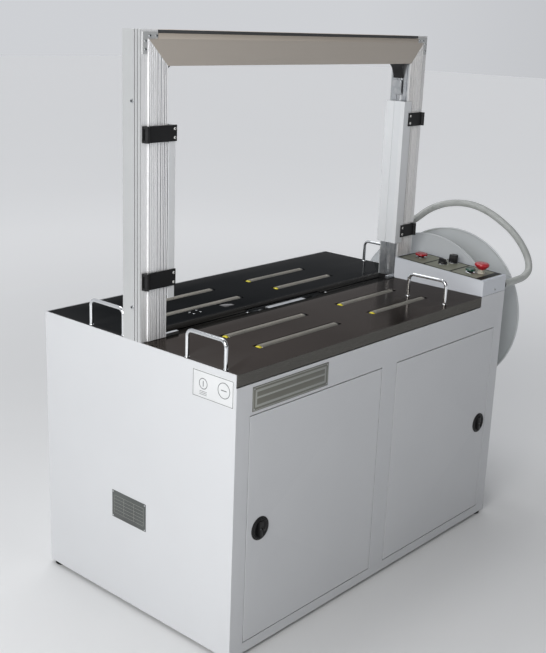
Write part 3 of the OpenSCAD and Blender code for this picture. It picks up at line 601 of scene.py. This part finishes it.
screws = Shape()
for x, drop in ((24.5, 14), (45, 14), (11, 26), (11, 45)):
    for place in (x, ARCH_W - x):
        screws.screw((place, ARCH_Y + 0.5, TOP - drop), (0, -1, 0), 3.6)
for z in (TABLE + 86, TOP - 163):
    screws.screw((0, 362, z), (-1, 0, 0), 5.2, height=2.8)
    screws.screw((ARCH_W, 362, z), (1, 0, 0), 5.2, height=2.8)
for x in (408, 752):
    screws.screw((x, 349, TABLE), (0, 0, 1), 3.4, height=0.9)
screws.screw((1146, 0, TABLE + 12), (0, -1, 0), 3.6, height=1.8)
for x in (30, 320, 605, 890, CAB_W - 30):
    for z in (30, TABLE - 30):
        screws.screw((x, CAB_D, z), (0, 1, 0), 5, height=2.6)
for z in (220, 400, 560):
    for x in (30, CAB_W - 30):
        screws.screw((x, CAB_D, z), (0, 1, 0), 5, height=2.6)
for y in (-32, 32):
    for z in (-48, 48):
        screws.screw((CAB_W + 6, reel_mid.y + y, reel_mid.z + z), (1, 0, 0), 6, height=4)
screws.build("machine_screws", "machine", [zinc, hole_painted_shade], ["screws"])

plate_screws = Shape()
for x, y in ((287, 454), (286, 436), (315.5, 457), (314, 439)):
    plate_screws.screw((x, y, TABLE), (0, 0, 1), 3.2, height=1.0)
plate_screws.build("sensor_plate_screws", "rear_table", [zinc, hole_painted_shade])

# start and end of each gate arm above the table
BANDS = {"left": ((134, 176), (492, 531)), "right": ((130, 168), (480, 520))}
for name, bands in BANDS.items():
    low, high = size_in(f"{name}_gate_arms")
    arm_screws = Shape()
    for z0, z1 in bands:
        for z in (z0 + 9, z1 - 9):
            x = high.x - 7 if name == "left" else low.x + 7
            arm_screws.screw((x, ARCH_Y - 7, TABLE + z), (0, -1, 0), 3.6, height=2.4)
    arm_screws.build(f"{name}_arm_screws", f"{name}_gate", [screw_bright, hole_painted_shade])


# black plates behind the gate hinges, on the columns' outer strips
hinge_backs = Shape()
for name, bands in BANDS.items():
    for z0, z1 in bands:
        xs = (2.5, 19.5) if name == "left" else (ARCH_W - 19.5, ARCH_W - 2.5)
        hinge_backs.box((xs[0], ARCH_Y + 0.8, TABLE + z0), (xs[1], ARCH_Y + 3, TABLE + z1), 0.4)
hinge_backs.build("hinge_back_plates", "machine", [black_paint])

front_plate_screws = Shape()
for x, y in ((8, 297), (13, 287)):
    front_plate_screws.screw((x, y, TABLE), (0, 0, 1), 2.8, height=0.8)
front_plate_screws.build("front_plate_screws", "front_table", [black_paint, hole_painted_shade])


# ---------------------------------------------------------------- labels

name_plate = Shape()
name_plate.box((55, -1, 646), (337, 0.2, 708), 0.4, 0)
for low, high in (((57, -1.25, 648), (335, -0.9, 650)), ((57, -1.25, 704), (335, -0.9, 706)),
                  ((57, -1.25, 648), (59, -0.9, 706)), ((333, -1.25, 648), (335, -0.9, 706))):
    name_plate.box(low, high, 0.1, 1)
name_plate.box((64, -1.15, 655), (328, -0.9, 699), 0.1, 1)
name_plate.box((70, -1.3, 661), (322, -1.0, 676), 0.1, 0)
name_plate.box((70, -1.3, 681), (322, -1.0, 693), 0.1, 0)
for x in (61, 331):
    for z in (652, 702):
        name_plate.lathe([(0, 0), (1.6, 0), (1.6, 0.3), (1.0, 0.8), (0, 0.9)],
                         (x, -1.1, z), (0, -1, 0), 16, 2)
name_plate.build("name_plate", "machine", [name_metal, name_light, zinc], ["label_plates"])

side_label = Shape()
side_label.box((-0.6, 8, 664), (0.1, 145, 734), 0.1, 0)
for low, high in (((-0.75, 10, 666), (-0.5, 143, 667.4)), ((-0.75, 10, 730.6), (-0.5, 143, 732)),
                  ((-0.75, 10, 666), (-0.5, 11.4, 732)), ((-0.75, 141.6, 666), (-0.5, 143, 732))):
    side_label.box(low, high, 0.05, 1)
for y, r in ((40, 20), (108, 14)):
    side_label.lathe([(r, 0), (r, 0.25), (r - 1.8, 0.25), (r - 1.8, 0)], (-0.55, y, 702), (-1, 0, 0), 48, 1)
side_label.box((-0.75, 31, 700.8), (-0.5, 49, 703.2), 0.05, 1)
side_label.box((-0.75, 106.8, 695), (-0.5, 109.2, 709), 0.05, 1)
for z in (674, 678, 682):
    side_label.box((-0.75, 96, z), (-0.5, 120, z + 1.2), 0.05, 1)
side_label.build("side_label", "machine", [paper, ink])

data_plate = Shape()
data_plate.box((-1, 310, 238), (0.2, 443, 316), 0.4, 0)
for z in (252, 262, 272, 282, 292, 302):
    data_plate.box((-1.15, 318, z), (-0.9, 435, z + 0.7), 0.05, 1)
for y in (318, 356, 396, 434.3):
    data_plate.box((-1.15, y, 252), (-0.9, y + 0.7, 302.7), 0.05, 1)
for y in (314, 439):
    for z in (242, 312):
        data_plate.lathe([(0, 0), (2.2, 0), (2.2, 0.4), (1.4, 1.1), (0, 1.2)], (-1, y, z), (-1, 0, 0), 16, 2)
data_plate.build("data_plate", "machine", [plate_metal, name_light, zinc])


# ---------------------------------------------------------------- control panel

BOX_RISE, BOX_LENGTH = 19, 326.5  # rise of the sloping top over its length
SLOPE = math.atan(BOX_RISE / BOX_LENGTH)
BOX_FRONT = 48  # height of the box above the table at its front
RED_SPOT, GREEN_SPOT, STOP_SPOT = (1150, 278), (1129, 81), (1153, 57)  # x and y of each control
SELECTOR_SPOT, DIAL_SPOT = (1142, 191), (1186, 180)


def on_panel(x, y):
    """Frame of a point on the sloping top of the control box, Z out of the panel."""
    height = TABLE + BOX_FRONT + y * math.tan(SLOPE)
    return Matrix.Translation((x, y, height)) @ Matrix.Rotation(SLOPE, 4, "X")


panel = Shape()
panel.place = on_panel(0, 12)
X0, X1, LONG = 1079, CAB_W - 5, 310  # left and right edge of the overlay, its length up the slope
for low, high in (((X0 + 1, 1, 0.7), (X0 + 6.5, LONG - 1, 1.05)),
                  ((X1 - 6.5, 1, 0.7), (X1 - 1, LONG - 1, 1.05)),
                  ((X0 + 1, LONG - 7, 0.7), (X1 - 1, LONG - 1, 1.05)), ((X0 + 1, 1, 0.7), (X1 - 1, 21, 1.05)),
                  ((X0 + 1, 210, 0.7), (X1 - 1, 216, 1.05)), ((X0 + 1, 112, 0.7), (X1 - 1, 118, 1.05))):
    panel.box(low, high, 0.12, 0)
for k in range(11):
    panel.place = on_panel(*DIAL_SPOT) @ Matrix.Rotation(math.radians(-45 + 27 * k), 4, "Z")
    panel.box((17.6, -0.4, 0.75), (20.4, 0.4, 1.05), 0.08, 1)
for turn in (-45, 0, 45):
    panel.place = on_panel(*SELECTOR_SPOT) @ Matrix.Rotation(math.radians(turn - 90), 4, "Z")
    panel.box((17.5, -0.7, 0.75), (21.5, 0.7, 1.05), 0.08, 1)
panel.place = Matrix.Identity(4)
panel.build("panel_lines", "machine", [film_dark, white_mark])

# the stop button's collar takes the cream tone, a painted highlight
collars = Shape()
for spot, r, high, slot in ((RED_SPOT, 17.5, 2.6, 0), (GREEN_SPOT, 15.2, 2.6, 0),
                            (SELECTOR_SPOT, 15.6, 1.8, 0), (DIAL_SPOT, 16.4, 1.8, 0),
                            (STOP_SPOT, 12.0, 5.0, 1)):
    collars.place = on_panel(*spot)
    inner = 9.5 if slot or high > 2 else 7
    collars.lathe([(inner, 0.7), (r, 0.7), (r, high - 0.8), (r - 0.8, high), (inner, high), (inner, 0.7)],
                  (0, 0, 0), (0, 0, 1), 48, slot)
collars.place = Matrix.Identity(4)
collars.build("button_collars", "machine", [chrome, stop_neck_painted_highlight])


def mushroom(name, body, node, spot, head, material, stem=black_plastic):
    """Push button: a stem through the panel and a turned head."""
    button = Shape()
    button.place = on_panel(*spot)
    button.lathe([(0, -28), (8.4, -28), (9, -27.4), (9, head[0][1])], (0, 0, 0), (0, 0, 1), 48, 1)
    button.lathe([(9, head[0][1])] + head, (0, 0, 0), (0, 0, 1), 64, 0)
    button.build(name, body, [material, stem], [node])


mushroom("red_push_button", "red_button", "red_button", RED_SPOT,
         [(17.5, 7), (19.4, 7.6), (20, 9), (20, 11), (19.2, 12.6), (17, 13.5), (10, 13.9), (0, 14)],
         red_plastic)
mushroom("green_push_button", "green_button", "green_button", GREEN_SPOT,
         [(14, 7), (15.6, 7.6), (16, 8.8), (16, 11.4), (15.2, 13), (13.4, 13.9), (12.6, 13.2), (0, 13.0)],
         green_plastic)
# its stem shows as a cream neck above the panel, a painted highlight
mushroom("stop_push_button", "stop_button", "estop_button", STOP_SPOT,
         [(9.4, 12.4), (12.4, 14.6), (15, 17.2), (22.4, 24.6), (23, 26), (23, 28.6), (22.2, 30.8), (19, 32.9),
          (13, 33.8), (0, 34)],
         red_plastic, stem=stop_neck_painted_highlight)

selector = Shape()
selector.place = on_panel(*SELECTOR_SPOT)
selector.lathe([(0, -22), (5.6, -22), (6, -21.6), (6, 2.1), (13.4, 2.1), (14, 2.8), (14, 7.6), (13.2, 8.8),
                (10, 9.2), (0, 9.2)], (0, 0, 0), (0, 0, 1), 48, 0)
selector.box((-4, -13, 7), (4, 13, 18), 1.6, 0)
selector.box((-1.3, -13.2, 9), (1.3, -2, 18.3), 0.3, 1)
selector.place = Matrix.Identity(4)
selector.build("selector_switch", "selector", [black_plastic, white_mark], ["selector_knob"])

dial = Shape()
dial.place = on_panel(*DIAL_SPOT)
dial.lathe([(0, -22), (5.6, -22), (6, -21.6), (6, 2.1), (14.2, 2.1), (15, 3), (15, 5.5), (14.2, 6)],
           (0, 0, 0), (0, 0, 1), 72, 0)
dial.lathe([(14.2, 6), (14.6, 7), (14.0, 24), (12.8, 25.6), (10, 26), (0, 26)],
           (0, 0, 0), (0, 0, 1), 144, 0, lobes=24, depth=0.8)
dial.box((-0.7, 6, 25.8), (0.7, 13, 26.6), 0.2, 1)
dial.place = Matrix.Identity(4)
dial.build("dial_knob", "dial", [black_plastic, white_mark], ["tension_knob"])


# ---------------------------------------------------------------- door pulls

for name, x, door in (("left", 97.5, "left_door"), ("right", 1122, "right_door")):
    z = size_in(f"{name}_latch")[0].z + 26
    bezel = Shape()
    bezel.lathe([(26.8, -1.6), (26.8, 2.2), (27.6, 3.0), (29.4, 2.8), (31, 1.4), (31, 0.05), (26.8, 0.05)],
                (x, 0, z), (0, -1, 0), 72)
    bezel.build(f"{name}_pull_ring", door, [black_plastic])
    pull = Shape()
    pull.lathe([(0, -5), (25.4, -5), (26, -4.4), (26, 3.2), (25.2, 4), (23.6, 4), (22.4, 3.0), (20, -0.6),
                (14, -2.4), (0, -2.6)], (x, 0, z), (0, -1, 0), 72, 0)
    pull.box((x - 5, -8, z - 20), (x + 5, 3, z + 20), 1.6, 0)
    pull.lathe([(0, 0), (4.2, 0), (4.2, 0.25), (3.8, 0.5), (1.2, 0.5)], (x, -7.5, z), (0, -1, 0), 32, 1)
    # dimple in the pull's middle: painted shade
    pull.lathe([(1.2, 0.5), (1.1, 0.1), (0, 0.1)], (x, -7.5, z), (0, -1, 0), 32, 2)
    pull.lathe([(6, 0), (6, 22), (5.4, 22.6), (0, 22.6)], (x, 4.5, z), (0, 1, 0), 32, 1)
    pull.box((x - 6, 24, z - 6), (x + 6, 27, z + 60), 0.8, 1)
    pull.build(f"{name}_pull", f"{name}_latch", [black_plastic, zinc, hole_painted_shade],
               [f"{name}_latch"])


# ---------------------------------------------------------------- table: rollers and handles

ROWS = {"a": "front_table", "b": "front_table", "c": "rear_table", "d": "rear_table"}
for row in ROWS:
    for side_name in ("left", "right"):
        node = f"roller_{row}_{side_name}"
        low, high = size_in(node)
        mid = (low + high) / 2
        r = (high.z - low.z) / 2
        start, end = low.x + 18, high.x - 18
        length = end - start
        tube = Shape()
        tube.lathe([(0, -8), (3.6, -8), (4, -7.6), (4, 0.2), (r - 1.2, 0.2), (r, 1.2), (r, 8),
                    (r - 0.35, 8.4), (r - 0.35, 9.6), (r, 10), (r, length - 10), (r - 0.35, length - 9.6),
                    (r - 0.35, length - 8.4), (r, length - 8), (r, length - 1.2), (r - 1.2, length - 0.2),
                    (4, length - 0.2), (4, length + 7.6), (3.6, length + 8), (0, length + 8)],
                   (start, mid.y, mid.z), (1, 0, 0), 48)
        tube.build(f"table_{node}", node, [roller_steel], [node])
        for label, x, axis, material in (("near", start, -1, yellow_plastic), ("far", end, 1, black_plastic)):
            end_cap = Shape()
            end_cap.lathe([(4.1, 0), (13.4, 0), (13.8, 0.6), (13.8, 6.4), (12.6, 8.6), (9.4, 9.4), (8.2, 8.6),
                           (4.1, 8.6), (4.1, 0)], (x, mid.y, mid.z), (axis, 0, 0), 40)
            end_cap.build(f"{node}_cap_{label}", node, [material])


def bent_rod(x, y0, y1, z0, z1, bend, steps=10):
    """Points of a handle that stands up at y0, bends over and comes down at y1."""
    path = [(x, y0, z0), (x, y0, z0 + 2), (x, y0, (z0 + z1) / 2)]
    for k in range(steps + 1):
        a = math.pi / 2 * k / steps
        path.append((x, y0 + bend * (1 - math.cos(a)), z1 - bend * (1 - math.sin(a))))
    for k in range(1, 8):
        path.append((x, y0 + bend + (y1 - y0 - 2 * bend) * k / 8, z1))
    for k in range(steps + 1):
        a = math.pi / 2 * k / steps
        path.append((x, y1 - bend * (1 - math.sin(a)), z1 - bend * (1 - math.cos(a))))
    return path + [(x, y1, (z0 + z1) / 2), (x, y1, z0 + 2), (x, y1, z0)]


for group, body, spots in (("front", "front_table", ((10, 46, 175), (910, 29, 158))),
                           ("rear", "rear_table", ((11, 408, 536), (1192, 408, 536)))):
    rods = Shape()
    top = size_in(f"{group}_handles")[1].z - 5
    for x, y0, y1 in spots:
        path = bent_rod(x, y0, y1, TABLE - 3, top, 16)
        rods.sweep(path, [5.0] * len(path), 24)
        for y in (y0, y1):
            rods.lathe([(5.0, 0), (6.4, 0.05), (6.4, 1.6), (5.6, 2.6), (5.0, 2.8)],
                       (x, y, TABLE), (0, 0, 1), 32)
    rods.build(f"{group}_lift_handles", body, [chrome], [f"{group}_handles"], angle=50)

window = Shape()
sensor_low, sensor_high = size_in("parcel_sensor")
window.box((sensor_low.x + 3, 433, TABLE - 2), (sensor_high.x - 3, 455, TABLE - 0.6), 0.3, 0)
window.build("sensor_window", "machine", [dark_glass])


# ---------------------------------------------------------------- reel, strap coil, hose

flanges = Shape()
radius = (reel_high.z - reel_low.z) / 2
for x, inward in ((reel_low.x, 1), (reel_high.x, -1)):
    profile = [(24, 0), (radius - 9, 0), (radius - 6, 0.6), (radius - 1, 0.4), (radius, 2.2),
               (radius - 0.6, 5.2),
               (radius - 3, 6.2), (radius - 5.5, 5.0), (radius - 7, 3), (60, 3), (58, 4), (30, 4), (28, 3),
               (24, 3), (24, 0)]
    flanges.lathe(profile, (x, reel_mid.y, reel_mid.z), (inward, 0, 0), 160)
flanges.build("reel_discs", "reel", [reel_paint], ["reel_flanges"])

coil_low, coil_high = size_in("strap_coil")
coil_r = (coil_high.z - coil_low.z) / 2
width = coil_high.x - coil_low.x
strips = 12
pitch = width / strips
profile = [(100.4, 0), (coil_r - 1.4, 0)]
for k in range(strips):
    rise = coil_r - (0.0, 0.5, 0.2, 0.7)[k % 4]
    profile += [(rise - 0.9, k * pitch + 0.2), (rise, k * pitch + 0.9), (rise, (k + 1) * pitch - 0.9),
                (rise - 0.9, (k + 1) * pitch - 0.2)]
profile += [(coil_r - 1.4, width), (100.4, width), (100.4, 0)]
coil = Shape()
coil.lathe(profile, (coil_low.x, reel_mid.y, reel_mid.z), (1, 0, 0), 160)
coil.build("wound_strap", "reel", [strap], ["strap_coil"])

knob = Shape()
knob.lathe([(12, 0), (24.5, 0), (26, 1.4), (26, 12), (24, 15), (15, 16.6), (0, 17)],
           (cad_high.x / MM - corner.x / MM - 17.4, reel_mid.y, reel_mid.z), (1, 0, 0), 96, 0,
           lobes=8, depth=3.0)
knob.build("reel_hand_nut", "machine", [black_plastic])


def gland(shape, place, axis, long, bore, r):
    """Cable gland: hexagon body and ribbed dome nut round the bore."""
    shape.lathe([(bore, 0), (r, 0), (r, long * 0.34), (r - 0.6, long * 0.38), (bore, long * 0.38)],
                place, axis, 6, 0)
    shape.lathe([(bore, long * 0.36), (r - 1.4, long * 0.36), (r - 1, long * 0.44), (r - 1, long * 0.8),
                 (r - 2.2, long * 0.95), (bore + 0.6, long), (bore, long), (bore, long * 0.36)],
                place, axis, 60, 0, lobes=20, depth=0.5)


glands = Shape()
HOSE_R = 11.5
GLAND_LENGTH = 18
gland(glands, (ARCH_W, 362, TABLE + 155), (1, 0, 0), GLAND_LENGTH, 6, 16)
gland(glands, (CAB_W, 18, TABLE + 12), (1, 0, 0), GLAND_LENGTH, 6, 15)
gland(glands, (1100, CAB_D, 150), (0, 1, 0), 25, 5, 12)
# dark disc inside the gland's bore: painted shade
glands.lathe([(5, 4), (5, 5), (0, 5)], (1100, CAB_D, 150), (0, 1, 0), 32, 1)
glands.build("hose_glands", "machine", [black_plastic, hole_painted_shade], ["cable_glands"])

# x, y and height above the table, from the column's gland to the cabinet's
HOSE_ROUTE = [(ARCH_W + GLAND_LENGTH, 362, 155), (1235, 362, 170), (1300, 358, 192), (1356, 338, 207),
              (1392, 296, 213), (1404, 244, 209), (1405, 190, 194), (1405, 140, 170), (1407, 96, 140),
              (1408, 60, 103), (1406, 35, 66), (1393, 21, 34), (1360, 18, 16), (1315, 18, 12),
              (1270, 18, 12), (CAB_W + GLAND_LENGTH, 18, 12)]


def smooth_route(route, steps):
    """Catmull-Rom curve through the route, steps to a stretch."""
    points = [Vector(p) for p in route]
    last = len(points) - 1
    out = []
    for i in range(last):
        p, q, r, s = (points[max(0, min(last, j))] for j in (i - 1, i, i + 1, i + 2))
        for k in range(steps):
            t = k / steps
            out.append(0.5 * (2 * q + (r - p) * t + (2 * p - 5 * q + 4 * r - s) * t * t
                              + (3 * q - p - 3 * r + s) * t * t * t))
    return out + [points[-1]]


def even(points, step):
    """The same line with points a fixed step apart."""
    out, need = [points[0]], step
    for a, b in zip(points, points[1:]):
        long = (b - a).length
        while need <= long:
            out.append(a + (b - a) * need / long)
            need += step
        need -= long
    return out + [points[-1]]


route = smooth_route([(x, y, TABLE + z) for x, y, z in HOSE_ROUTE], 40)
line = even(route, 1.15)
hose = Shape()
hose.sweep(line, [HOSE_R if i % 4 in (0, 1) else HOSE_R - 1.0 for i in range(len(line))], 24)
hose_piece = hose.build("conduit", "machine", [hose_white], ["conduit_hose"], angle=70)
spine = [corner + p * MM for p in even(route, 12)]


# ---------------------------------------------------------------- feet and motors

feet = Shape()
foot_low = size_in("levelling_feet")[0]
thread = [(6.0 if k % 2 else 5.5, 5 + k) for k in range(38)]
for x in (24, CAB_W - 24):
    for y in (24, CAB_D - 24):
        feet.lathe([(0, 0), (20.8, 0), (22, 1.2), (22, 3.6), (19, 4.8), (10, 5.2), (0, 5.2)],
                   (x, y, foot_low.z), (0, 0, 1), 48, 0)
        feet.lathe([(0, 4), (5.6, 4)] + thread + [(5, 43.6), (0, 44)], (x, y, foot_low.z), (0, 0, 1), 32, 1)
        for z in (-5, 4):
            feet.lathe([(6.0, 0.1), (9.4, 0.1), (10, 0.7), (10, 4.2), (9.4, 4.8), (6.0, 4.8)], (x, y, z),
                       (0, 0, 1), 6, 1)
feet.build("feet", "machine", [black_plastic, zinc], ["levelling_feet"])

motors = Shape()
start = size_in("head_frame")[1].x
motors.lathe([(0, 0), (27, 0), (28, 1), (28, 46), (26, 50), (0, 50)],
             (start, 360, TABLE - 150), (1, 0, 0), 48, 1)
ribs = [(0, 50), (33, 50), (34, 51), (34, 60)]
for k in range(10):
    ribs += [(31, 61 + 7 * k), (31, 64 + 7 * k), (34, 65 + 7 * k), (34, 67 + 7 * k)]
motors.lathe(ribs + [(34, 140), (31, 149), (24, 150), (0, 150)], (start, 360, TABLE - 150), (1, 0, 0), 48, 0)
motors.lathe([(0, 0), (23, 0), (24, 1), (24, 20), (22, 21), (22, 24), (24, 25), (24, 96), (22, 106),
              (0, 108)], (690, 392, TABLE - 100), (0, 1, 0), 48, 0)
motors.build("gear_motors", "machine", [motor_paint, zinc], ["drive_motors"])


# ---------------------------------------------------------------- floor and end of the script

floor_mesh = bpy.data.meshes.new("floor")
reach = 30
floor_mesh.from_pydata([(-reach, -reach, 0), (reach, -reach, 0), (reach, reach, 0), (-reach, reach, 0)], [],
                       [[0, 1, 2, 3]])
floor_mesh.materials.append(floor_grey)
floor = bpy.data.objects.new("floor", floor_mesh)
scene.collection.objects.link(floor)
floor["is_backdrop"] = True

low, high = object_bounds()
